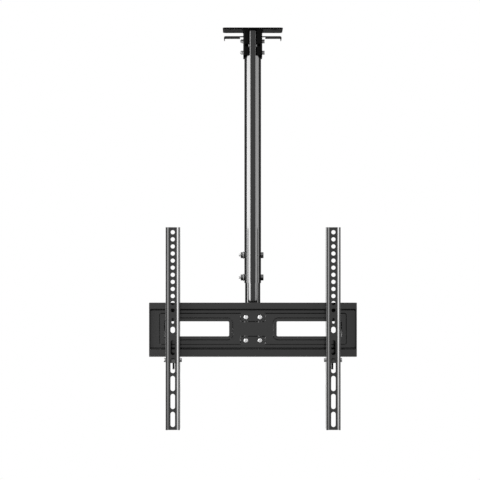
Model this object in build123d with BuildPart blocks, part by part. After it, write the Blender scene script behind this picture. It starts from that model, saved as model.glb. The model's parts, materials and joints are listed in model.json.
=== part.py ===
from build123d import *
from math import atan, degrees
import os

# TV ceiling mount: ceiling plate and sleeve, telescopic pole, swivel and tilt head,
# pressed plate and two hook-on arms. +Z is up, the screen side faces -Y, and the
# origin is the centre of the ceiling plate's top face. All sizes are in millimetres.

# Ceiling plate
ceiling_width = 130.3
ceiling_depth = 60.0
ceiling_thickness = 3.0
ceiling_corner = 7.0
lag_spacing_x = 95.5
lag_spacing_y = 36.0
lag_slot_width = 7.0
lag_slot_length = 14.0

# Tubes of the pole
outer_diameter = 36.5
outer_wall = 1.5
outer_length = 548.0
inner_wall = 1.5
tube_clearance = 0.1
tube_top_gap = 1.7
travel_down = 300.0
inner_top_margin = 20.0
pole_out = 63.0

# Sleeve under the ceiling plate
sleeve_wall = 2.0
sleeve_clearance = 0.35
sleeve_corner = 4.0
sleeve_opening = 17.8
sleeve_lip_length = 55.0
sleeve_side_extra = 4.0
sleeve_hole = 6.5
sleeve_hole_inset = 7.3
sleeve_hole_drop = 33.4
weld_width = 2.5
weld_height = 3.5

# Cover brackets on the sleeve
cover_drop = 13.5
cover_sheet = 1.6
cover_depth = 30.0
cover_reach = 62.5
cover_lip = 6.3
cover_bend = 1.6
cover_tab = 7.0
cover_notch = 7.0

# Cap screws and nuts of the sleeve
cap_diameter = 5.0
cap_head = 8.5
cap_head_height = 5.4
cap_socket = 4.0
cap_nut_flats = 8.0
cap_nut = 5.0
cap_end = 1.6
cap_drop = 22.7
cap_pitch = 24.7

# Clamp bolts of the pole
bolt_diameter = 8.0
bolt_flats = 13.0
bolt_head = 5.3
bolt_nut = 6.5
bolt_hole_clearance = 0.2
clamp_bolt_edge = 12.0
clamp_bolt_pitch = 48.6
clamp_nut = 5.0
clamp_end = 3.9
clamp_washer = 1.6
washer_diameter = 16.0
saddle_thickness = 1.3
saddle_diameter = 13.5
slot_side_clearance = 0.5

# Swivel under the inner tube
foot_diameter = 46.0
foot_thickness = 4.0
spigot_height = 6.0
spigot_clearance = 0.1
swivel_diameter = 10.0
swivel_flats = 17.0
swivel_head = 6.4
swivel_nut_height = 8.0
swivel_end = 2.0
bush_thickness = 1.5
bush_diameter = 40.0
swivel_washer_thickness = 2.0
swivel_washer_diameter = 21.0

# Yoke, tilt bracket and their bolts
bracket_sheet = 3.0
face_clearance = 0.2
pivot_clearance = 0.05
cheek_clearance = 0.3
yoke_width = 53.4
yoke_depth = 40.0
pivot_drop = 35.0
pivot_boss = 14.0
lock_radius = 24.0
lock_boss = 9.0
tilt_range = 15.0
tilt_slot_clearance = 0.3
tilt_washer = 1.6
tilt_end = 1.5
tilt_web_height = 76.0

# Inner radius of every fold
sheet_bend = 0.4

# Pressed plate for the arms
sheet = 2.0
plate_width = 444.0
plate_height = 115.8
plate_corner = 1.5
plate_front = 60.0
strip_height = 14.4
strip_end = 2.0
pan_depth = 10.0
pan_slope = 4.0
pan_end_slope = 1.0
pan_corner = 3.0
field_raise = 2.0
field_slope = 2.0
field_margin_x = 19.0
field_margin_z = 9.2
field_corner = 5.0
pad_width = 51.0
pad_height = 17.5
pad_corner = 2.0
window_width = 131.0
window_height = 32.0
window_corner = 3.0
window_border = 6.5
window_inner = 51.0
relief_lift = 1.2

# Screws that hold the plate to the tilt bracket
screw_spacing_x = 30.0
screw_spacing_z = 50.0
screw_diameter = 5.0
screw_head = 9.2
screw_head_height = 2.6
screw_nut_flats = 8.0
screw_nut_height = 4.0
screw_end = 1.0
screw_clearance = 0.15

# Arms
arm_spread = 340.0
arm_length = 429.0
arm_width = 30.0
arm_rise = 218.7
arm_standoff = 30.0
arm_strip = 3.1
arm_slope = 3.0
arm_sink = 3.0
arm_sheet = 1.5
arm_end_depth = 31.0
arm_taper_top = 74.0
hook_length = 10.5
hook_clearance = 0.4
seat_clearance = 0.3
hook_relief = 3.5
notch_top = 5.0
lower_tab = 31.0
lower_notch = 28.0
edge_clearance = 1.0

# Holes of the arms
arm_hole = 8.8
arm_hole_pitch = 15.0
arm_hole_count = 12
arm_hole_margin = 10.6
small_slot_width = 5.0
small_slot_length = 11.8
small_slot_drop = 198.0
short_slot_length = 13.3
short_slot_drop = 217.2
slot_width = 9.4
slot_length = 32.1
slot_pitch = 38.0
slot_count = 5
slot_drop = 254.7

# Lock of each arm
lock_drop = 6.8
lock_bolt_diameter = 5.0
lock_bolt_head = 4.2
lock_head_diameter = 9.2
lock_washer_thickness = 1.1
lock_washer_diameter = 9.0
lock_nut_flats = 8.0
lock_nut_height = 3.2
lock_bolt_depth = 29.5
lock_block_height = 8.6
lock_block_depth = 35.7
lock_block_front = 4.8
lock_block_clearance = 0.3
lock_screw_diameter = 4.0
lock_screw_length = 35.0
lock_screw_depth = 36.5
lock_screw_below = 16.3
lock_screw_socket = 2.0
lock_screw_clearance = 0.05

# Heights and planes worked out from the sizes above
outer_radius = outer_diameter / 2
outer_bore = outer_radius - outer_wall
inner_radius = outer_bore - tube_clearance
inner_bore = inner_radius - inner_wall
tube_top = -ceiling_thickness - tube_top_gap
outer_bottom = tube_top - outer_length
inner_bottom = outer_bottom - pole_out

sleeve_half = outer_radius + sleeve_clearance + sleeve_wall
sleeve_inner = outer_radius + sleeve_clearance
cap_z = [-ceiling_thickness - cap_drop - i * cap_pitch for i in range(2)]
clamp_bolt_z = [outer_bottom + clamp_bolt_edge + i * clamp_bolt_pitch for i in range(2)]
bolt_radius = bolt_diameter / 2
bolt_hole_radius = bolt_radius + bolt_hole_clearance
cap_hole_radius = cap_diameter / 2 + bolt_hole_clearance
slot_half = bolt_radius + slot_side_clearance

foot_bottom = inner_bottom - foot_thickness
yoke_top = foot_bottom - bush_thickness - face_clearance
head_z = inner_bottom - pivot_drop

strip_y = -plate_front
pan_y = strip_y + pan_depth
plate_back = pan_y + sheet
plate_top = head_z + plate_height / 2
plate_bottom = head_z - plate_height / 2
pan_width = plate_width - 2 * strip_end
pan_height = plate_height - 2 * strip_height
window_x = window_inner + window_width / 2
relief_z = head_z + relief_lift

arm_front = strip_y - arm_standoff
arm_top = head_z + arm_rise
arm_bottom = arm_top - arm_length
arm_half = arm_width / 2
screw_hole_radius = screw_diameter / 2 + screw_clearance
lock_z = plate_bottom - lock_drop


def depth(distance):
    """Y of a plane that lies this far behind the arms' front."""
    return arm_front + distance


def hexagons(flats, places):
    """Hexagons with a flat up, at the given places of the open sketch."""
    with Locations(*places):
        RegularPolygon(flats / 2, 6, major_radius=False)


def circles(diameter, places):
    """Circles at the given places of the open sketch."""
    with Locations(*places):
        Circle(diameter / 2)


def folded_sheet(points, thickness, side, bend=sheet_bend):
    """Section of a folded sheet whose outer face follows the points, with the inner radius of its folds."""
    with BuildLine() as section:
        FilletPolyline(*points, radius=thickness + bend)
        offset(amount=thickness, side=side)
    make_face(section.edges())


# Ceiling plate
with BuildPart() as ceiling_plate:
    with BuildSketch(Plane.XY):
        RectangleRounded(ceiling_width, ceiling_depth, ceiling_corner)
        with GridLocations(lag_spacing_x, lag_spacing_y, 2, 2):
            SlotOverall(lag_slot_length, lag_slot_width, mode=Mode.SUBTRACT)
    extrude(amount=-ceiling_thickness)
    rim = ceiling_plate.faces().sort_by(Axis.Z)[0].outer_wire().edges()
    fillet(rim, ceiling_thickness / 3)

# Sleeve: a folded C with a weld bead round its top
sleeve_top = -ceiling_thickness
sleeve_lip_bottom = sleeve_top - sleeve_lip_length
sleeve_side_bottom = sleeve_lip_bottom - sleeve_side_extra
sleeve_inner_corner = sleeve_corner - sleeve_wall
cap_places = [(0, z) for z in cap_z]
with BuildPart() as top_sleeve:
    with BuildSketch(Plane.XY.offset(sleeve_side_bottom)):
        RectangleRounded(2 * sleeve_half, 2 * sleeve_half, sleeve_corner)
    extrude(amount=sleeve_top - sleeve_side_bottom)
    weld_side = 2 * (sleeve_half + weld_width)
    with BuildSketch(Plane.XY.offset(sleeve_top)):
        RectangleRounded(weld_side, weld_side, sleeve_corner + weld_width)
    extrude(amount=-weld_height, taper=degrees(atan(weld_width / weld_height)))
    with BuildSketch(Plane.XY.offset(sleeve_side_bottom)):
        RectangleRounded(2 * sleeve_inner, 2 * sleeve_inner, sleeve_inner_corner)
        with Locations((0, -sleeve_half)):
            Rectangle(sleeve_opening, 2 * sleeve_half)
    extrude(amount=sleeve_top - sleeve_side_bottom, mode=Mode.SUBTRACT)
    with BuildSketch(Plane.YZ):
        with BuildLine():
            Polyline(
                (-sleeve_half - 1, sleeve_lip_bottom),
                (-sleeve_inner + sleeve_inner_corner, sleeve_lip_bottom),
                (-sleeve_inner + sleeve_inner_corner + sleeve_side_extra, sleeve_side_bottom - 1),
                (-sleeve_half - 1, sleeve_side_bottom - 1),
                close=True,
            )
        make_face()
    extrude(amount=sleeve_half, both=True, mode=Mode.SUBTRACT)
    with BuildSketch(Plane.YZ):
        circles(2 * cap_hole_radius, cap_places)
    extrude(amount=sleeve_half, both=True, mode=Mode.SUBTRACT)
    with BuildSketch(Plane.XZ.offset(sleeve_inner)):
        hole_x = sleeve_half - sleeve_hole_inset
        circles(sleeve_hole, [(s * hole_x, sleeve_top - sleeve_hole_drop) for s in (-1, 1)])
    extrude(amount=sleeve_wall, mode=Mode.SUBTRACT)

# Cover brackets: thin tabs with a turned-down end
cover_top = -ceiling_thickness - cover_drop
cover_bottom = cover_top - cover_lip
with BuildPart() as cover_brackets:
    with BuildSketch(Plane.XZ):
        folded_sheet(
            [(sleeve_half, cover_top), (cover_reach, cover_top), (cover_reach, cover_bottom)],
            cover_sheet,
            Side.RIGHT,
            cover_bend,
        )
    extrude(amount=cover_depth / 2, both=True)
    with BuildSketch(Plane.XY.offset(cover_top)):
        notch_depth = cover_depth - cover_tab
        with Locations((sleeve_half + cover_notch / 2, cover_depth / 2 - notch_depth / 2)):
            Rectangle(cover_notch, notch_depth)
    extrude(amount=-cover_sheet, mode=Mode.SUBTRACT)
    mirror(about=Plane.YZ)

# Outer tube with its four pairs of cross holes
clamp_places = [(0, z) for z in clamp_bolt_z]
with BuildPart() as outer_tube:
    with BuildSketch(Plane.XY.offset(outer_bottom)):
        Circle(outer_radius)
        Circle(outer_bore, mode=Mode.SUBTRACT)
    extrude(amount=outer_length)
    with BuildSketch(Plane.YZ):
        circles(2 * cap_hole_radius, cap_places)
        circles(2 * bolt_hole_radius, clamp_places)
    extrude(amount=outer_radius, both=True, mode=Mode.SUBTRACT)

# Cap screws of the sleeve, with the heads at +X
cap_tip = sleeve_half + cap_nut + cap_end
with BuildPart() as top_bolts:
    with BuildSketch(Plane.YZ.offset(sleeve_half)):
        circles(cap_head, cap_places)
    extrude(amount=cap_head_height)
    chamfer(top_bolts.faces().sort_by(Axis.X)[-2:].edges(), cap_head / 20)
    with BuildSketch(Plane.YZ.offset(sleeve_half + cap_head_height)):
        hexagons(cap_socket, cap_places)
    extrude(amount=-cap_head_height / 2, mode=Mode.SUBTRACT)
    with BuildSketch(Plane.YZ.offset(-cap_tip)):
        circles(cap_diameter, cap_places)
    extrude(amount=cap_tip + sleeve_half)

with BuildPart() as top_nuts:
    with BuildSketch(Plane.YZ.offset(-sleeve_half)):
        hexagons(cap_nut_flats, cap_places)
    extrude(amount=-cap_nut)
    chamfer(top_nuts.faces().sort_by(Axis.X)[:2].edges(), cap_nut / 10)
    with BuildSketch(Plane.YZ.offset(-sleeve_half)):
        circles(cap_diameter, cap_places)
    extrude(amount=-cap_nut, mode=Mode.SUBTRACT)

# Clamp bolts of the pole: head on the tube at +X, saddle, washer and nut at -X
saddle_face = outer_radius + saddle_thickness
clamp_nut_face = saddle_face + clamp_washer
clamp_tip = clamp_nut_face + clamp_nut + clamp_end
with BuildPart() as clamp_bolts:
    with BuildSketch(Plane.YZ.offset(outer_radius)):
        hexagons(bolt_flats, clamp_places)
    extrude(amount=bolt_head)
    chamfer(clamp_bolts.faces().sort_by(Axis.X)[-2:].edges(), bolt_head / 8)
    with BuildSketch(Plane.YZ.offset(-clamp_tip)):
        circles(bolt_diameter, clamp_places)
    extrude(amount=clamp_tip + outer_radius)

with BuildPart() as clamp_saddles:
    with BuildSketch(Plane.YZ.offset(-saddle_face)):
        circles(saddle_diameter, clamp_places)
        with Locations(*clamp_places):
            Circle(bolt_hole_radius, mode=Mode.SUBTRACT)
    extrude(amount=saddle_face - outer_radius + saddle_thickness)
    with BuildSketch(Plane.XY.offset(outer_bottom)):
        Circle(outer_radius)
    extrude(amount=outer_length, mode=Mode.SUBTRACT)

with BuildPart() as clamp_washers:
    with BuildSketch(Plane.YZ.offset(-saddle_face)):
        circles(washer_diameter, clamp_places)
        with Locations(*clamp_places):
            Circle(bolt_hole_radius, mode=Mode.SUBTRACT)
    extrude(amount=-clamp_washer)

with BuildPart() as clamp_nuts:
    with BuildSketch(Plane.YZ.offset(-clamp_nut_face)):
        hexagons(bolt_flats, clamp_places)
    extrude(amount=-clamp_nut)
    chamfer(clamp_nuts.faces().sort_by(Axis.X)[:2].edges(), clamp_nut / 10)
    with BuildSketch(Plane.YZ.offset(-clamp_nut_face)):
        circles(bolt_diameter, clamp_places)
    extrude(amount=-clamp_nut, mode=Mode.SUBTRACT)

# Inner tube: long side slots let it slide past the clamp bolts
slot_bottom = clamp_bolt_z[0] - slot_half
slot_top = clamp_bolt_z[1] + travel_down + slot_half
inner_top = slot_top + inner_top_margin
with BuildPart() as inner_tube:
    with BuildSketch(Plane.XY.offset(inner_bottom)):
        Circle(inner_radius)
        Circle(inner_bore, mode=Mode.SUBTRACT)
    extrude(amount=inner_top - inner_bottom)
    with BuildSketch(Plane.YZ):
        with Locations((0, (slot_bottom + slot_top) / 2)):
            SlotOverall(slot_top - slot_bottom, 2 * slot_half, rotation=90)
    extrude(amount=inner_radius, both=True, mode=Mode.SUBTRACT)

# Foot welded in the inner tube's lower end
swivel_hole_radius = swivel_diameter / 2 + pivot_clearance
with BuildPart() as tube_foot:
    with BuildSketch(Plane.XY.offset(foot_bottom)):
        Circle(foot_diameter / 2)
    extrude(amount=foot_thickness)
    with BuildSketch(Plane.XY.offset(inner_bottom)):
        Circle(inner_bore - spigot_clearance)
    extrude(amount=spigot_height)
    chamfer(tube_foot.faces().sort_by(Axis.Z)[-1].outer_wire().edges(), spigot_height / 6)
    with BuildSketch(Plane.XY.offset(foot_bottom)):
        Circle(swivel_hole_radius)
    extrude(amount=foot_thickness + spigot_height, mode=Mode.SUBTRACT)

# Upright swivel bolt, with its head in the tube, and the pieces below it
bolt_seat = inner_bottom + spigot_height
yoke_web_bottom = yoke_top - bracket_sheet
swivel_washer_top = yoke_web_bottom - face_clearance
swivel_nut_top = swivel_washer_top - swivel_washer_thickness
swivel_nut_bottom = swivel_nut_top - swivel_nut_height
swivel_tip = swivel_nut_bottom - swivel_end
with BuildPart() as swivel_bolt:
    with BuildSketch(Plane.XY.offset(bolt_seat)):
        RegularPolygon(swivel_flats / 2, 6, major_radius=False)
    extrude(amount=swivel_head)
    chamfer(swivel_bolt.faces().sort_by(Axis.Z)[-1].edges(), swivel_head / 8)
    with BuildSketch(Plane.XY.offset(swivel_tip)):
        Circle(swivel_diameter / 2)
    extrude(amount=bolt_seat - swivel_tip)

with BuildPart() as swivel_bush:
    with BuildSketch(Plane.XY.offset(foot_bottom)):
        Circle(bush_diameter / 2)
        Circle(swivel_hole_radius, mode=Mode.SUBTRACT)
    extrude(amount=-bush_thickness)

with BuildPart() as swivel_washer:
    with BuildSketch(Plane.XY.offset(swivel_washer_top)):
        Circle(swivel_washer_diameter / 2)
        Circle(swivel_hole_radius, mode=Mode.SUBTRACT)
    extrude(amount=-swivel_washer_thickness)

with BuildPart() as swivel_nut:
    with BuildSketch(Plane.XY.offset(swivel_nut_top)):
        RegularPolygon(swivel_flats / 2, 6, major_radius=False)
    extrude(amount=-swivel_nut_height)
    chamfer(swivel_nut.faces().sort_by(Axis.Z)[0].edges(), swivel_nut_height / 10)
    with BuildSketch(Plane.XY.offset(swivel_nut_top)):
        Circle(swivel_diameter / 2)
    extrude(amount=-swivel_nut_height, mode=Mode.SUBTRACT)

# Yoke: a folded U whose cheeks carry the tilt bolts
yoke_half = yoke_width / 2
lock_bolt_z = head_z - lock_radius
yoke_bottom = lock_bolt_z - lock_boss
tilt_places = [(0, head_z), (0, lock_bolt_z)]
with BuildPart() as swivel_yoke:
    with BuildSketch(Plane.XZ):
        folded_sheet(
            [
                (-yoke_half, yoke_bottom),
                (-yoke_half, yoke_top),
                (yoke_half, yoke_top),
                (yoke_half, yoke_bottom),
            ],
            bracket_sheet,
            Side.RIGHT,
        )
    extrude(amount=yoke_depth / 2, both=True)
    with BuildSketch(Plane.YZ):
        with Locations((0, yoke_web_bottom)):
            Rectangle(yoke_depth, 2 * bracket_sheet)
        with Locations((0, head_z)):
            Circle(pivot_boss)
        with Locations((0, lock_bolt_z)):
            Circle(lock_boss)
        make_hull()
    extrude(amount=yoke_width, both=True, mode=Mode.INTERSECT)
    with BuildSketch(Plane.YZ):
        circles(2 * bolt_hole_radius, tilt_places)
    extrude(amount=yoke_half, both=True, mode=Mode.SUBTRACT)
    with BuildSketch(Plane.XY.offset(yoke_web_bottom)):
        Circle(swivel_hole_radius)
    extrude(amount=bracket_sheet, mode=Mode.SUBTRACT)

# Tilt bracket: a folded U round the yoke, with an arc slot in each cheek
bracket_half = yoke_half + cheek_clearance + bracket_sheet
tilt_hole_radius = bolt_radius + pivot_clearance
arc_half = bolt_radius + tilt_slot_clearance
arc_margin = degrees(tilt_slot_clearance / lock_radius)
web_half = tilt_web_height / 2
with BuildPart() as tilt_bracket:
    with BuildSketch(Plane.XY.offset(head_z - web_half)):
        folded_sheet(
            [
                (-bracket_half, pivot_boss),
                (-bracket_half, plate_back),
                (bracket_half, plate_back),
                (bracket_half, pivot_boss),
            ],
            bracket_sheet,
            Side.LEFT,
        )
    extrude(amount=tilt_web_height)
    with BuildSketch(Plane.YZ):
        with Locations((plate_back + bracket_sheet, head_z)):
            Rectangle(2 * bracket_sheet, tilt_web_height)
        with Locations((0, head_z)):
            Circle(pivot_boss)
        with Locations((0, lock_bolt_z)):
            Circle(pivot_boss)
        make_hull()
    extrude(amount=2 * bracket_half, both=True, mode=Mode.INTERSECT)
    with BuildSketch(Plane.YZ):
        circles(2 * tilt_hole_radius, [(0, head_z)])
        with Locations((0, head_z)):
            with BuildLine(mode=Mode.PRIVATE) as travel:
                CenterArc((0, 0), lock_radius, -90 - tilt_range - arc_margin, tilt_range + 2 * arc_margin)
            SlotArc(travel.wires()[0], 2 * arc_half)
    extrude(amount=bracket_half, both=True, mode=Mode.SUBTRACT)
    with BuildSketch(Plane.XZ.offset(-plate_back)):
        with Locations((0, relief_z)):
            with GridLocations(screw_spacing_x, screw_spacing_z, 2, 2):
                Circle(screw_hole_radius)
    extrude(amount=-bracket_sheet, mode=Mode.SUBTRACT)

# Tilt bolts: the pivot above, the lock bolt in the arc slots below
tilt_head_face = bracket_half + face_clearance
tilt_nut_face = tilt_head_face + tilt_washer
tilt_tip = tilt_nut_face + bolt_nut + tilt_end
with BuildPart() as tilt_bolts:
    with BuildSketch(Plane.YZ.offset(tilt_head_face)):
        hexagons(bolt_flats, tilt_places)
    extrude(amount=bolt_head)
    chamfer(tilt_bolts.faces().sort_by(Axis.X)[-2:].edges(), bolt_head / 8)
    with BuildSketch(Plane.YZ.offset(-tilt_tip)):
        circles(bolt_diameter, tilt_places)
    extrude(amount=tilt_tip + tilt_head_face)

with BuildPart() as tilt_washers:
    with BuildSketch(Plane.YZ.offset(-tilt_head_face)):
        circles(washer_diameter, tilt_places)
        with Locations(*tilt_places):
            Circle(bolt_hole_radius, mode=Mode.SUBTRACT)
    extrude(amount=-tilt_washer)

with BuildPart() as tilt_nuts:
    with BuildSketch(Plane.YZ.offset(-tilt_nut_face)):
        hexagons(bolt_flats, tilt_places)
    extrude(amount=-bolt_nut)
    chamfer(tilt_nuts.faces().sort_by(Axis.X)[:2].edges(), bolt_nut / 10)
    with BuildSketch(Plane.YZ.offset(-tilt_nut_face)):
        circles(bolt_diameter, tilt_places)
    extrude(amount=-bolt_nut, mode=Mode.SUBTRACT)

# Pressed plate: forward rim, sunk pan, raised field round two windows and two pads
def raised_field(margin):
    """The raised field of the pan, drawn smaller all round by the margin."""
    width = pan_width - 2 * field_margin_x
    height = pan_height - 2 * field_margin_z
    with Locations((0, relief_z)):
        RectangleRounded(width - 2 * margin, height - 2 * margin, field_corner - margin)
        with Locations(*[(0, s * ((height - pad_height) / 2 + pad_corner)) for s in (-1, 1)]):
            RectangleRounded(
                pad_width + 2 * margin,
                pad_height + 2 * (pad_corner + margin),
                pad_corner + margin,
                mode=Mode.SUBTRACT,
            )
        with Locations(*[(s * window_x, 0) for s in (-1, 1)]):
            RectangleRounded(
                window_width + 2 * (window_border + margin),
                window_height + 2 * (window_border + margin),
                window_corner + window_border + margin,
                mode=Mode.SUBTRACT,
            )


def pan_outline(margin, distance):
    """The pan's outline at a distance behind the strips' front, drawn wider all round by the margin."""
    share = distance / pan_depth
    with Locations((0, relief_z)):
        RectangleRounded(
            pan_width + 2 * (margin - pan_end_slope * share),
            pan_height + 2 * (margin - pan_slope * share),
            pan_corner + margin,
        )


field_taper = degrees(atan(field_slope / field_raise))
with BuildPart() as tv_plate:
    with BuildSketch(Plane.XZ.offset(-strip_y)):
        with Locations((0, head_z)):
            RectangleRounded(plate_width, plate_height, plate_corner)
    extrude(amount=-sheet)
    for distance in (0, pan_depth + sheet):
        with BuildSketch(Plane.XZ.offset(-strip_y - distance)):
            pan_outline(sheet, distance)
    loft()
    for distance in (0, pan_depth):
        with BuildSketch(Plane.XZ.offset(-strip_y - distance)):
            pan_outline(0, distance)
    loft(mode=Mode.SUBTRACT)
    with BuildSketch(Plane.XZ.offset(-pan_y)):
        raised_field(0)
    extrude(amount=field_raise, taper=field_taper)
    with BuildSketch(Plane.XZ.offset(-plate_back)):
        raised_field(field_slope / 2)
    extrude(amount=field_raise, taper=field_taper, mode=Mode.SUBTRACT)
    with BuildSketch(Plane.XZ.offset(-pan_y)):
        with Locations(*[(s * window_x, relief_z) for s in (-1, 1)]):
            RectangleRounded(window_width, window_height, window_corner)
    extrude(amount=-sheet, mode=Mode.SUBTRACT)
    with BuildSketch(Plane.XZ.offset(-pan_y)):
        with Locations((0, relief_z)):
            with GridLocations(screw_spacing_x, screw_spacing_z, 2, 2):
                Circle(screw_hole_radius)
    extrude(amount=-sheet, mode=Mode.SUBTRACT)

# Four screws with low domed heads, and their nuts behind the bracket
screw_places = [
    (i * screw_spacing_x / 2, relief_z + j * screw_spacing_z / 2) for i in (-1, 1) for j in (-1, 1)
]
screw_nut_face = plate_back + bracket_sheet
screw_tip = screw_nut_face + screw_nut_height + screw_end
with BuildPart() as plate_screws:
    with BuildSketch(Plane.XZ.offset(-pan_y)):
        circles(screw_head, screw_places)
    extrude(amount=screw_head_height)
    fillet(plate_screws.faces().sort_by(Axis.Y)[:4].edges(), screw_head_height / 2)
    with BuildSketch(Plane.XZ.offset(-pan_y)):
        circles(screw_diameter, screw_places)
    extrude(amount=pan_y - screw_tip)

with BuildPart() as plate_nuts:
    with BuildSketch(Plane.XZ.offset(-screw_nut_face)):
        hexagons(screw_nut_flats, screw_places)
    extrude(amount=-screw_nut_height)
    chamfer(plate_nuts.faces().sort_by(Axis.Y)[-4:].edges(), screw_nut_height / 10)
    with BuildSketch(Plane.XZ.offset(-screw_nut_face)):
        circles(screw_diameter, screw_places)
    extrude(amount=-screw_nut_height, mode=Mode.SUBTRACT)


def make_arm(centre):
    """A folded channel with a sunk web, hooked over the plate's top edge."""
    seat = arm_standoff + pan_depth - field_raise - seat_clearance
    stand = arm_standoff - hook_clearance
    hook_face = arm_standoff + sheet + hook_clearance
    web_half_width = arm_half - arm_strip
    floor_half = web_half_width - arm_slope
    with BuildPart() as arm:
        with BuildSketch(Plane((centre, 0, arm_bottom))):
            folded_sheet(
                [
                    (-arm_half, depth(seat)),
                    (-arm_half, depth(0)),
                    (-web_half_width, depth(0)),
                    (-floor_half, depth(arm_sink)),
                    (floor_half, depth(arm_sink)),
                    (web_half_width, depth(0)),
                    (arm_half, depth(0)),
                    (arm_half, depth(seat)),
                ],
                arm_sheet,
                Side.LEFT,
            )
        extrude(amount=arm_length)
        with BuildSketch(Plane.YZ.offset(centre)):
            with BuildLine():
                Polyline(
                    (depth(0), arm_top),
                    (depth(arm_end_depth), arm_top),
                    (depth(seat), arm_top - arm_taper_top),
                    (depth(seat), plate_top - hook_length),
                    (depth(hook_face), plate_top - hook_length),
                    (depth(hook_face), plate_top + seat_clearance),
                    (depth(stand), plate_top + seat_clearance),
                    (depth(stand), plate_top - strip_height - pan_slope - hook_relief),
                    (depth(seat), plate_top - strip_height - pan_slope - hook_relief),
                    (depth(seat), head_z - notch_top),
                    (depth(stand), head_z - notch_top),
                    (depth(stand), plate_bottom - edge_clearance),
                    (depth(seat), plate_bottom - edge_clearance),
                    (depth(seat), plate_bottom - edge_clearance - lower_tab),
                    (depth(stand), plate_bottom - edge_clearance - lower_tab),
                    (depth(stand), plate_bottom - edge_clearance - lower_tab - lower_notch),
                    (depth(seat), plate_bottom - edge_clearance - lower_tab - lower_notch),
                    (depth(arm_end_depth), arm_bottom),
                    (depth(0), arm_bottom),
                    close=True,
                )
            make_face()
        extrude(amount=arm_width, both=True, mode=Mode.INTERSECT)
        with BuildSketch(Plane.XZ.offset(-depth(0))):
            round_places = [
                (centre, arm_top - arm_hole_margin - i * arm_hole_pitch) for i in range(arm_hole_count)
            ]
            slot_places = [(centre, arm_top - slot_drop - i * slot_pitch) for i in range(slot_count)]
            circles(arm_hole, round_places)
            with Locations((centre, arm_top - small_slot_drop)):
                SlotOverall(small_slot_length, small_slot_width, rotation=90)
            with Locations((centre, arm_top - short_slot_drop)):
                SlotOverall(short_slot_length, slot_width, rotation=90)
            with Locations(*slot_places):
                SlotOverall(slot_length, slot_width, rotation=90)
        extrude(amount=-arm_sink - 2 * arm_sheet, mode=Mode.SUBTRACT)
        with BuildSketch(Plane.YZ.offset(centre)):
            circles(lock_bolt_diameter + 2 * bolt_hole_clearance, [(depth(lock_bolt_depth), lock_z)])
        extrude(amount=arm_half, both=True, mode=Mode.SUBTRACT)
    return arm.part


def make_lock_bolt(centre, side):
    """Cross bolt of an arm's lock, with its head on the arm's outer side."""
    place = [(depth(lock_bolt_depth), lock_z)]
    head_face = arm_half + lock_washer_thickness
    tip = arm_half + lock_nut_height
    with BuildPart() as bolt:
        with BuildSketch(Plane.YZ.offset(centre + side * head_face)):
            circles(lock_head_diameter, place)
        extrude(amount=side * lock_bolt_head)
        rim = bolt.edges().filter_by(GeomType.CIRCLE).sort_by(Axis.X)[-1 if side > 0 else 0]
        fillet(rim, lock_bolt_head / 3)
        with BuildSketch(Plane.YZ.offset(centre - side * tip)):
            circles(lock_bolt_diameter, place)
        extrude(amount=side * (tip + head_face))
    return bolt.part


def make_lock_washer(centre, side):
    """Washer under the head of a lock bolt."""
    with BuildPart() as washer:
        with BuildSketch(Plane.YZ.offset(centre + side * arm_half)):
            with Locations((depth(lock_bolt_depth), lock_z)):
                Circle(lock_washer_diameter / 2)
                Circle(lock_bolt_diameter / 2, mode=Mode.SUBTRACT)
        extrude(amount=side * lock_washer_thickness)
    return washer.part


def make_lock_nut(centre, side):
    """Nut of a lock bolt, on the arm's inner side."""
    place = [(depth(lock_bolt_depth), lock_z)]
    with BuildPart() as nut:
        with BuildSketch(Plane.YZ.offset(centre - side * arm_half)):
            hexagons(lock_nut_flats, place)
        extrude(amount=-side * lock_nut_height)
        with BuildSketch(Plane.YZ.offset(centre - side * arm_half)):
            circles(lock_bolt_diameter, place)
        extrude(amount=-side * lock_nut_height, mode=Mode.SUBTRACT)
    return nut.part


def make_lock_block(centre):
    """Block between the arm's flanges that carries the safety screw."""
    width = arm_width - 2 * arm_sheet - 2 * lock_block_clearance
    with BuildPart() as block:
        with BuildSketch(Plane.YZ.offset(centre)):
            with Locations((depth(lock_block_front + lock_block_depth / 2), lock_z)):
                Rectangle(lock_block_depth, lock_block_height)
        extrude(amount=width / 2, both=True)
        chamfer(block.edges().filter_by(Axis.X), lock_block_height / 12)
        with BuildSketch(Plane.YZ.offset(centre)):
            circles(lock_bolt_diameter + 2 * bolt_hole_clearance, [(depth(lock_bolt_depth), lock_z)])
        extrude(amount=width / 2, both=True, mode=Mode.SUBTRACT)
        with BuildSketch(Plane.XY.offset(lock_z)):
            circles(lock_screw_diameter + 2 * lock_screw_clearance, [(centre, depth(lock_screw_depth))])
        extrude(amount=lock_block_height / 2, both=True, mode=Mode.SUBTRACT)
    return block.part


def make_lock_screw(centre):
    """Upright safety screw with a hexagon socket in its lower end."""
    place = [(centre, depth(lock_screw_depth))]
    bottom = lock_z - lock_block_height / 2 - lock_screw_below
    with BuildPart() as screw:
        with BuildSketch(Plane.XY.offset(bottom)):
            circles(lock_screw_diameter, place)
        extrude(amount=lock_screw_length)
        chamfer(screw.edges().filter_by(GeomType.CIRCLE), lock_screw_diameter / 10)
        with BuildSketch(Plane.XY.offset(bottom)):
            hexagons(lock_screw_socket, place)
        extrude(amount=lock_screw_socket, mode=Mode.SUBTRACT)
    return screw.part


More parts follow.
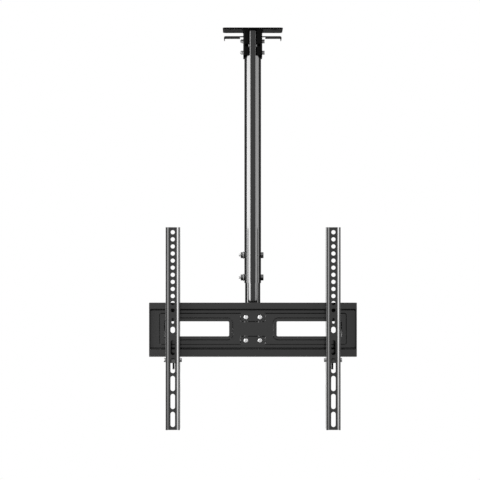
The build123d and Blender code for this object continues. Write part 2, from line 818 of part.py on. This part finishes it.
pieces = {
    "ceiling_plate": ceiling_plate.part,
    "top_sleeve": top_sleeve.part,
    "cover_brackets": cover_brackets.part,
    "outer_tube": outer_tube.part,
    "top_bolts": top_bolts.part,
    "top_nuts": top_nuts.part,
    "clamp_bolts": clamp_bolts.part,
    "clamp_saddles": clamp_saddles.part,
    "clamp_washers": clamp_washers.part,
    "clamp_nuts": clamp_nuts.part,
    "inner_tube": inner_tube.part,
    "tube_foot": tube_foot.part,
    "swivel_bolt": swivel_bolt.part,
    "swivel_bush": swivel_bush.part,
    "swivel_washer": swivel_washer.part,
    "swivel_nut": swivel_nut.part,
    "swivel_yoke": swivel_yoke.part,
    "tilt_bracket": tilt_bracket.part,
    "tilt_bolts": tilt_bolts.part,
    "tilt_washers": tilt_washers.part,
    "tilt_nuts": tilt_nuts.part,
    "tv_plate": tv_plate.part,
    "plate_screws": plate_screws.part,
    "plate_nuts": plate_nuts.part,
}
for side_name, side in (("left", -1), ("right", 1)):
    centre = side * arm_spread / 2
    pieces[f"{side_name}_arm"] = make_arm(centre)
    pieces[f"{side_name}_lock_bolt"] = make_lock_bolt(centre, side)
    pieces[f"{side_name}_lock_washer"] = make_lock_washer(centre, side)
    pieces[f"{side_name}_lock_nut"] = make_lock_nut(centre, side)
    pieces[f"{side_name}_lock_block"] = make_lock_block(centre)
    pieces[f"{side_name}_lock_screw"] = make_lock_screw(centre)

os.makedirs("parts", exist_ok=True)
for name, piece in pieces.items():
    piece.label = name
    export_step(piece, f"parts/{name}.step")
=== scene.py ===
import json
import math

import bmesh
import bpy
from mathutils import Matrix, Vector


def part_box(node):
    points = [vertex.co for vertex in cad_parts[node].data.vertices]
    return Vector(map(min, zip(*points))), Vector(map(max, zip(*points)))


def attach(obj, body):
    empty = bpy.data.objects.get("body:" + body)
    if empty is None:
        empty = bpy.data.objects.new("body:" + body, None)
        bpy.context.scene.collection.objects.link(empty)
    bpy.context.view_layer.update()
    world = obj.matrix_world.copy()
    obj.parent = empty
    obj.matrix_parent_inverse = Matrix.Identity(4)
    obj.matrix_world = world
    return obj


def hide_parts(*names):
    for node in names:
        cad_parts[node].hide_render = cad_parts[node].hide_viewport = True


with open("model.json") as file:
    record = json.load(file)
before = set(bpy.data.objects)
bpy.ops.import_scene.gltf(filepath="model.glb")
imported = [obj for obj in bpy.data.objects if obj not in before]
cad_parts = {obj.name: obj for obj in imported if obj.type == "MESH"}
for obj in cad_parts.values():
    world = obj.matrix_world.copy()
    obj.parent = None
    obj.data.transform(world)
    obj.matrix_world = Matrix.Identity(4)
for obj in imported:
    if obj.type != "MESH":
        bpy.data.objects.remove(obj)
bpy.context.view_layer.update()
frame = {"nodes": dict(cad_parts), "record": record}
nodes = frame["nodes"]

# Camera: level, looking along +Y from in front of the arms
CAMERA_PLACE = (-0.0277, -2.890, -0.459)
CAMERA_LENS = 99.34
SENSOR_WIDTH = 36.0

# Studio: upright soft boxes as name, azimuth range (degrees from the front, left is negative),
# distance, lowest and highest point, and radiance at the low end, at the bend and at the high end
SOFTBOXES = (
    ("left", -87.5, -33.0, 0.8, -1.1, 0.35, (0.1, 7.2, 5.2)),
    ("right", 37.0, 89.5, 1.0, -1.1, 0.35, (0.8, 2.6, 2.2)),
)
BEND = 0.5
# Soft box above the front, as place, aim, width, height and radiance
TOP_BOX = ((0.0, -1.15, 1.70), (0.0, 0.0, -0.45), 2.4, 1.5, (1.4, 1.4, 1.4))
# Room: a lighter wall in front, wider upwards than sideways, and a dim rest. The edge is the
# cosine between a direction and the wall's, where the rest ends and where the wall starts.
FRONT_WALL = (0.061, -0.998, 0.0)
WALL_SQUEEZE = (1.0, 1.0, 0.65)
WALL_EDGE = (0.835, 0.87)
WALL_LEVEL = 0.36
ROOM_LEVEL = 0.11

# Backdrop just wider than the camera's view, so that the pole's edges still mirror the dim
# room, and a floor well below the hanging mount
BACKDROP_PLACE = (-0.03, 12.0, -0.45)
BACKDROP_SIZE = 5.9
BACKDROP_ROUGHNESS = 0.9
FLOOR_PLACE = (0.0, 0.0, -2.4)
FLOOR_SIZE = 12.0
FLOOR_ROUGHNESS = 0.8
PALE = (0.82, 0.82, 0.82, 1.0)
WHITE = (1.0, 1.0, 1.0, 1.0)

# Materials: base grey, roughness, metallic, gloss (specular level), grain size (per metre),
# grain height
FINISHES = {
    "tube_black": dict(grey=0.005, rough=0.10, metallic=0.0, gloss=1.0, grain=260.0, bump=0.003),
    "sheet_black": dict(grey=0.006, rough=0.14, metallic=0.0, gloss=1.0, grain=1500.0, bump=0.10),
    "sleeve_black": dict(grey=0.002, rough=0.50, metallic=0.0, gloss=0.03, grain=1500.0, bump=0.10),
    "bright_zinc": dict(grey=0.82, rough=0.50, metallic=1.0, gloss=0.5, grain=700.0, bump=0.05),
    "dark_steel": dict(grey=0.11, rough=0.34, metallic=1.0, gloss=0.5, grain=700.0, bump=0.06),
    "lock_steel": dict(grey=0.42, rough=0.36, metallic=1.0, gloss=0.5, grain=700.0, bump=0.06),
    "black_nylon": dict(grey=0.025, rough=0.55, metallic=0.0, gloss=0.5, grain=500.0, bump=0.08),
}
# Nodes whose zinc is duller than their slot's, as a share of its grey
DULLER = {"top_bolts": 0.55, "top_nuts": 0.55, "clamp_washers": 0.6, "clamp_saddles": 0.5}
COAT_IOR = 1.6
# Slow clouds: size (per metre), detail, and how far they move the roughness and the grey
CLOUD_SCALE = 14.0
CLOUD_DETAIL = 3.0
ROUGH_SPREAD = 0.18
GREY_SPREAD = 0.1
# Fine grain: detail and full depth
GRAIN_DETAIL = 2.0
GRAIN_DEPTH = 0.0002

# Arms: place of their middle, section of the outer face (x from the middle, y), outer radius
# of its folds and sheet thickness
ARM_PLACE = 0.170
ARM_LINE = (
    (-0.0150, -0.0500),
    (-0.0150, -0.0900),
    (-0.0119, -0.0900),
    (-0.0089, -0.0870),
    (0.0089, -0.0870),
    (0.0119, -0.0900),
    (0.0150, -0.0900),
    (0.0150, -0.0500),
)
ARM_BEND = 0.0019
ARM_SHEET = 0.0015
# Share of the radius that the sharp pressed folds keep, and slack of the angle at an arc's ends
FOLD_SHARE = 0.18
FOLD_SLACK = 0.02
# Sunk web: half width at its rim, width of its slope, and how much further forward it lies
WEB_EDGE = 0.0119
WEB_SLOPE = 0.0030
WEB_RAISE = 0.0006
# How far a vertex may lie from the arc or the plane that it belongs to
VERTEX_SLACK = 0.00003

# Thread of the lock screws: pitch, height over the shank, depth of its foot in the shank,
# half width of its foot as a share of the pitch, plain length left at each end, and steps
# in a turn
THREAD_PITCH = 0.0008
THREAD_HEIGHT = 0.0005
THREAD_BITE = 0.0002
THREAD_FLANK = 0.42
THREAD_MARGIN = 0.0008
THREAD_SIDES = 20

# Turned-down ends of the clamp bolts: share of the radius, share left to the core under the
# bright end, and where they start inside the nut
END_SHARE = 0.65
CORE_SHARE = 0.5
END_NECK = 0.0006


def make_finish(name, grey, rough, metallic, gloss, grain, bump):
    """Procedural metal or plastic: fine grain in the bump, slow clouds in roughness and colour."""
    material = bpy.data.materials.new(name)
    material.use_nodes = True
    tree = material.node_tree
    shader = tree.nodes["Principled BSDF"]
    shader.inputs["Metallic"].default_value = metallic
    shader.inputs["Specular IOR Level"].default_value = gloss
    shader.inputs["IOR"].default_value = COAT_IOR
    place = tree.nodes.new("ShaderNodeTexCoord")

    clouds = tree.nodes.new("ShaderNodeTexNoise")
    clouds.inputs["Scale"].default_value = CLOUD_SCALE
    clouds.inputs["Detail"].default_value = CLOUD_DETAIL
    tree.links.new(place.outputs["Object"], clouds.inputs["Vector"])

    specks = tree.nodes.new("ShaderNodeTexNoise")
    specks.inputs["Scale"].default_value = grain
    specks.inputs["Detail"].default_value = GRAIN_DETAIL
    tree.links.new(place.outputs["Object"], specks.inputs["Vector"])

    roughness = tree.nodes.new("ShaderNodeMapRange")
    roughness.inputs["To Min"].default_value = rough * (1 - ROUGH_SPREAD)
    roughness.inputs["To Max"].default_value = rough * (1 + ROUGH_SPREAD)
    tree.links.new(clouds.outputs["Fac"], roughness.inputs["Value"])
    tree.links.new(roughness.outputs["Result"], shader.inputs["Roughness"])

    colour = tree.nodes.new("ShaderNodeValToRGB")
    for element, share in zip(colour.color_ramp.elements, (1 - GREY_SPREAD, 1 + GREY_SPREAD)):
        element.color = (grey * share, grey * share, grey * share, 1.0)
    tree.links.new(clouds.outputs["Fac"], colour.inputs["Fac"])
    tree.links.new(colour.outputs["Color"], shader.inputs["Base Color"])

    height = tree.nodes.new("ShaderNodeBump")
    height.inputs["Strength"].default_value = bump
    height.inputs["Distance"].default_value = GRAIN_DEPTH
    tree.links.new(specks.outputs["Fac"], height.inputs["Height"])
    tree.links.new(height.outputs["Normal"], shader.inputs["Normal"])
    return material


finishes = {name: make_finish(name, **values) for name, values in FINISHES.items()}
for row in frame["record"]["subparts"]:
    node, slot = row["node"], row["material_slot"]
    finish = finishes[slot]
    if node in DULLER:
        values = dict(FINISHES[slot], grey=FINISHES[slot]["grey"] * DULLER[node])
        finish = make_finish(slot + "_" + node, **values)
    nodes[node].data.materials.clear()
    nodes[node].data.materials.append(finish)


def add_piece(name, mesh, body, slot):
    """A visible piece of this mesh that moves with the body."""
    mesh.materials.clear()
    mesh.materials.append(finishes[slot])
    piece = bpy.data.objects.new(name, mesh)
    bpy.context.scene.collection.objects.link(piece)
    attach(piece, body)
    return piece


def finished_mesh(name, draft):
    """The plain mesh of a bmesh draft, which is freed."""
    mesh = bpy.data.meshes.new(name)
    draft.to_mesh(mesh)
    draft.free()
    return mesh


def section_folds(centre):
    """Each fold of an arm's section as the point it turns round, its middle and half its angle."""
    points = [Vector((centre + x, y)) for x, y in ARM_LINE]
    folds = []
    for before, corner, after in zip(points, points[1:], points[2:]):
        run_in = (corner - before).normalized()
        run_out = (after - corner).normalized()
        half = math.acos(run_in.dot(run_out)) / 2
        middle = (run_in - run_out).normalized()
        folds.append((corner - middle * ARM_BEND / math.cos(half), middle, half))
    return folds


def crisp_arm(side, centre):
    """A copy of an arm with sharper folds and its web further forward.

    Both faces of a fold turn round one point, so every vertex on an arc moves out along the
    fold's middle, and its radius keeps FOLD_SHARE.
    """
    mesh = nodes[side + "_arm"].data.copy()
    folds = section_folds(centre)
    for vertex in mesh.vertices:
        place = Vector(vertex.co.xy)
        for turn, middle, half in folds:
            arm = place - turn
            radius = arm.length
            misfit = min(abs(radius - ARM_BEND - step) for step in (-ARM_SHEET, 0.0, ARM_SHEET))
            if misfit > VERTEX_SLACK:
                continue
            if arm.normalized().dot(middle) < math.cos(half + FOLD_SLACK):
                continue
            shift = middle * radius * (1 - FOLD_SHARE) / math.cos(half)
            vertex.co.xy = turn + shift + arm * FOLD_SHARE
            break
        into_web = (WEB_EDGE - abs(vertex.co.x - centre)) / WEB_SLOPE
        vertex.co.y -= WEB_RAISE * min(max(into_web, 0.0), 1.0)
    piece = add_piece(side + "_arm_folds", mesh, side + "_arm_body", "sheet_black")
    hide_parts(side + "_arm")


def add_thread(side):
    """A helical ridge round a lock screw, from just above its tip to just below its top."""
    screw = side + "_lock_screw"
    low, high = (Vector(corner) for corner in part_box(screw))
    middle = (low + high) / 2
    root = (high.x - low.x) / 2 - THREAD_BITE
    crest = root + THREAD_BITE + THREAD_HEIGHT
    turns = (high.z - low.z - 2 * THREAD_MARGIN) / THREAD_PITCH
    flank = Vector((0.0, 0.0, THREAD_PITCH * THREAD_FLANK))
    draft = bmesh.new()
    rings = []
    for step in range(int(turns * THREAD_SIDES)):
        angle = 2 * math.pi * step / THREAD_SIDES
        outward = Vector((math.cos(angle), math.sin(angle), 0.0))
        height = low.z + THREAD_MARGIN + THREAD_PITCH * step / THREAD_SIDES
        axis = Vector((middle.x, middle.y, height))
        foot = axis + outward * root
        ring = (foot - flank, axis + outward * crest, foot + flank)
        rings.append([draft.verts.new(corner) for corner in ring])
    for ring, following in zip(rings, rings[1:]):
        for this, other in ((0, 1), (1, 2), (2, 0)):
            draft.faces.new((ring[this], following[this], following[other], ring[other]))
    draft.faces.new(rings[0])
    draft.faces.new(reversed(rings[-1]))
    bmesh.ops.recalc_face_normals(draft, faces=draft.faces)
    add_piece(screw + "_thread", finished_mesh(screw + "_thread", draft), side + "_lock", "lock_steel")


def turn_down_ends(name, share, slot, ends_only):
    """The clamp bolts, or only their bare ends past the nuts at -X, with the ends turned down."""
    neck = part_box("clamp_nuts")[0][0] + END_NECK
    draft = bmesh.new()
    draft.from_mesh(nodes["clamp_bolts"].data)
    heights = [vertex.co.z for vertex in draft.verts]
    split = (min(heights) + max(heights)) / 2
    bmesh.ops.bisect_plane(
        draft,
        geom=draft.verts[:] + draft.edges[:] + draft.faces[:],
        plane_co=(neck, 0.0, 0.0),
        plane_no=(1.0, 0.0, 0.0),
        clear_outer=ends_only,
    )
    lower = [vertex for vertex in draft.verts if vertex.co.z < split]
    upper = [vertex for vertex in draft.verts if vertex.co.z >= split]
    for bolt in (lower, upper):
        heights = [vertex.co.z for vertex in bolt]
        axis = (min(heights) + max(heights)) / 2
        for vertex in bolt:
            if vertex.co.x < neck + VERTEX_SLACK:
                vertex.co.y *= share
                vertex.co.z = axis + (vertex.co.z - axis) * share
    return add_piece(name, finished_mesh(name, draft), "ceiling_frame", slot)


for side, centre in (("left", -ARM_PLACE), ("right", ARM_PLACE)):
    crisp_arm(side, centre)
for side in ("left", "right"):
    add_thread(side)
bolt_bodies = turn_down_ends("clamp_bolt_bodies", CORE_SHARE, "dark_steel", ends_only=False)
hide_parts("clamp_bolts")
turn_down_ends("clamp_bolt_ends", END_SHARE, "bright_zinc", ends_only=True)


def add_softbox(name, place, aim, width, height, levels):
    """A soft box whose radiance runs from its low end over the bend to its high end."""
    data = bpy.data.lights.new(name, "AREA")
    data.shape = "RECTANGLE"
    data.size = width
    data.size_y = height
    data.energy = math.pi * width * height
    data.use_nodes = True
    tree = data.node_tree
    surface = tree.nodes.new("ShaderNodeNewGeometry")
    upright = tree.nodes.new("ShaderNodeSeparateXYZ")
    tree.links.new(surface.outputs["Parametric"], upright.inputs["Vector"])
    level = tree.nodes.new("ShaderNodeFloatCurve")
    points = level.mapping.curves[0].points
    peak = max(levels)
    low_level, bend_level, high_level = (value / peak for value in levels)
    points[0].location = (0.0, low_level)
    points[1].location = (1.0, high_level)
    points.new(BEND, bend_level)
    level.mapping.update()
    tree.links.new(upright.outputs["Y"], level.inputs["Value"])
    strength = tree.nodes.new("ShaderNodeMath")
    strength.operation = "MULTIPLY"
    strength.inputs[1].default_value = peak
    tree.links.new(level.outputs["Value"], strength.inputs[0])
    tree.links.new(strength.outputs["Value"], tree.nodes["Emission"].inputs["Strength"])
    lamp = bpy.data.objects.new(name, data)
    bpy.context.scene.collection.objects.link(lamp)
    lamp.location = place
    lamp.rotation_mode = "QUATERNION"
    lamp.rotation_quaternion = (aim - place).to_track_quat("-Z", "Y")
    lamp.visible_camera = False


for name, azimuth_from, azimuth_to, distance, low, high, levels in SOFTBOXES:
    angle = math.radians((azimuth_from + azimuth_to) / 2)
    width = 2 * distance * math.tan(math.radians(azimuth_to - azimuth_from) / 2)
    middle = (low + high) / 2
    place = Vector((distance * math.sin(angle), -distance * math.cos(angle), middle))
    add_softbox(name, place, Vector((0.0, 0.0, middle)), width, high - low, levels)

top_place, top_aim, *top_values = TOP_BOX
add_softbox("top", Vector(top_place), Vector(top_aim), *top_values)


def make_room():
    """World light by direction: the front wall's level inside its edge, the room's elsewhere."""
    room = bpy.data.worlds.new("studio")
    room.use_nodes = True
    tree = room.node_tree
    steps = (("MULTIPLY", WALL_SQUEEZE), ("NORMALIZE", None), ("DOT_PRODUCT", FRONT_WALL))
    result = tree.nodes.new("ShaderNodeTexCoord").outputs["Generated"]
    for operation, values in steps:
        step = tree.nodes.new("ShaderNodeVectorMath")
        step.operation = operation
        tree.links.new(result, step.inputs[0])
        if values:
            step.inputs[1].default_value = values
        result = step.outputs["Value" if operation == "DOT_PRODUCT" else "Vector"]
    level = tree.nodes.new("ShaderNodeMapRange")
    level.inputs["From Min"].default_value = WALL_EDGE[0]
    level.inputs["From Max"].default_value = WALL_EDGE[1]
    level.inputs["To Min"].default_value = ROOM_LEVEL
    level.inputs["To Max"].default_value = WALL_LEVEL
    tree.links.new(result, level.inputs["Value"])
    tree.links.new(level.outputs["Result"], tree.nodes["Background"].inputs["Strength"])
    tree.nodes["Background"].inputs["Color"].default_value = WHITE
    return room


bpy.context.scene.world = make_room()


def make_pale(name, roughness):
    """A plain pale surface."""
    material = bpy.data.materials.new(name)
    material.use_nodes = True
    shader = material.node_tree.nodes["Principled BSDF"]
    shader.inputs["Base Color"].default_value = PALE
    shader.inputs["Roughness"].default_value = roughness
    return material


def make_backdrop_finish():
    """White to camera, glossy and transmission rays, and a plain pale surface to all others."""
    material = make_pale("backdrop_white", BACKDROP_ROUGHNESS)
    tree = material.node_tree
    white = tree.nodes.new("ShaderNodeEmission")
    path = tree.nodes.new("ShaderNodeLightPath")
    seen = path.outputs["Is Camera Ray"]
    for ray in ("Is Glossy Ray", "Is Transmission Ray"):
        either = tree.nodes.new("ShaderNodeMath")
        either.operation = "MAXIMUM"
        tree.links.new(seen, either.inputs[0])
        tree.links.new(path.outputs[ray], either.inputs[1])
        seen = either.outputs[0]
    mix = tree.nodes.new("ShaderNodeMixShader")
    tree.links.new(seen, mix.inputs[0])
    tree.links.new(tree.nodes["Principled BSDF"].outputs["BSDF"], mix.inputs[1])
    tree.links.new(white.outputs["Emission"], mix.inputs[2])
    tree.links.new(mix.outputs["Shader"], tree.nodes["Material Output"].inputs["Surface"])
    return material


def add_sheet(name, place, turn, size, material):
    """A square sheet of the studio, turned about X."""
    bpy.ops.mesh.primitive_plane_add(size=size, location=place, rotation=(turn, 0.0, 0.0))
    sheet = bpy.context.object
    sheet.name = name
    sheet.data.materials.append(material)


add_sheet("backdrop", BACKDROP_PLACE, math.pi / 2, BACKDROP_SIZE, make_backdrop_finish())
add_sheet("floor", FLOOR_PLACE, 0.0, FLOOR_SIZE, make_pale("floor_pale", FLOOR_ROUGHNESS))

scene = bpy.context.scene
camera_data = bpy.data.cameras.new("camera")
camera_data.lens = CAMERA_LENS
camera_data.sensor_width = SENSOR_WIDTH
camera = bpy.data.objects.new("camera", camera_data)
scene.collection.objects.link(camera)
camera.location = CAMERA_PLACE
camera.rotation_euler = (math.radians(90.0), 0.0, 0.0)
scene.camera = camera
scene.view_settings.view_transform = "Standard"
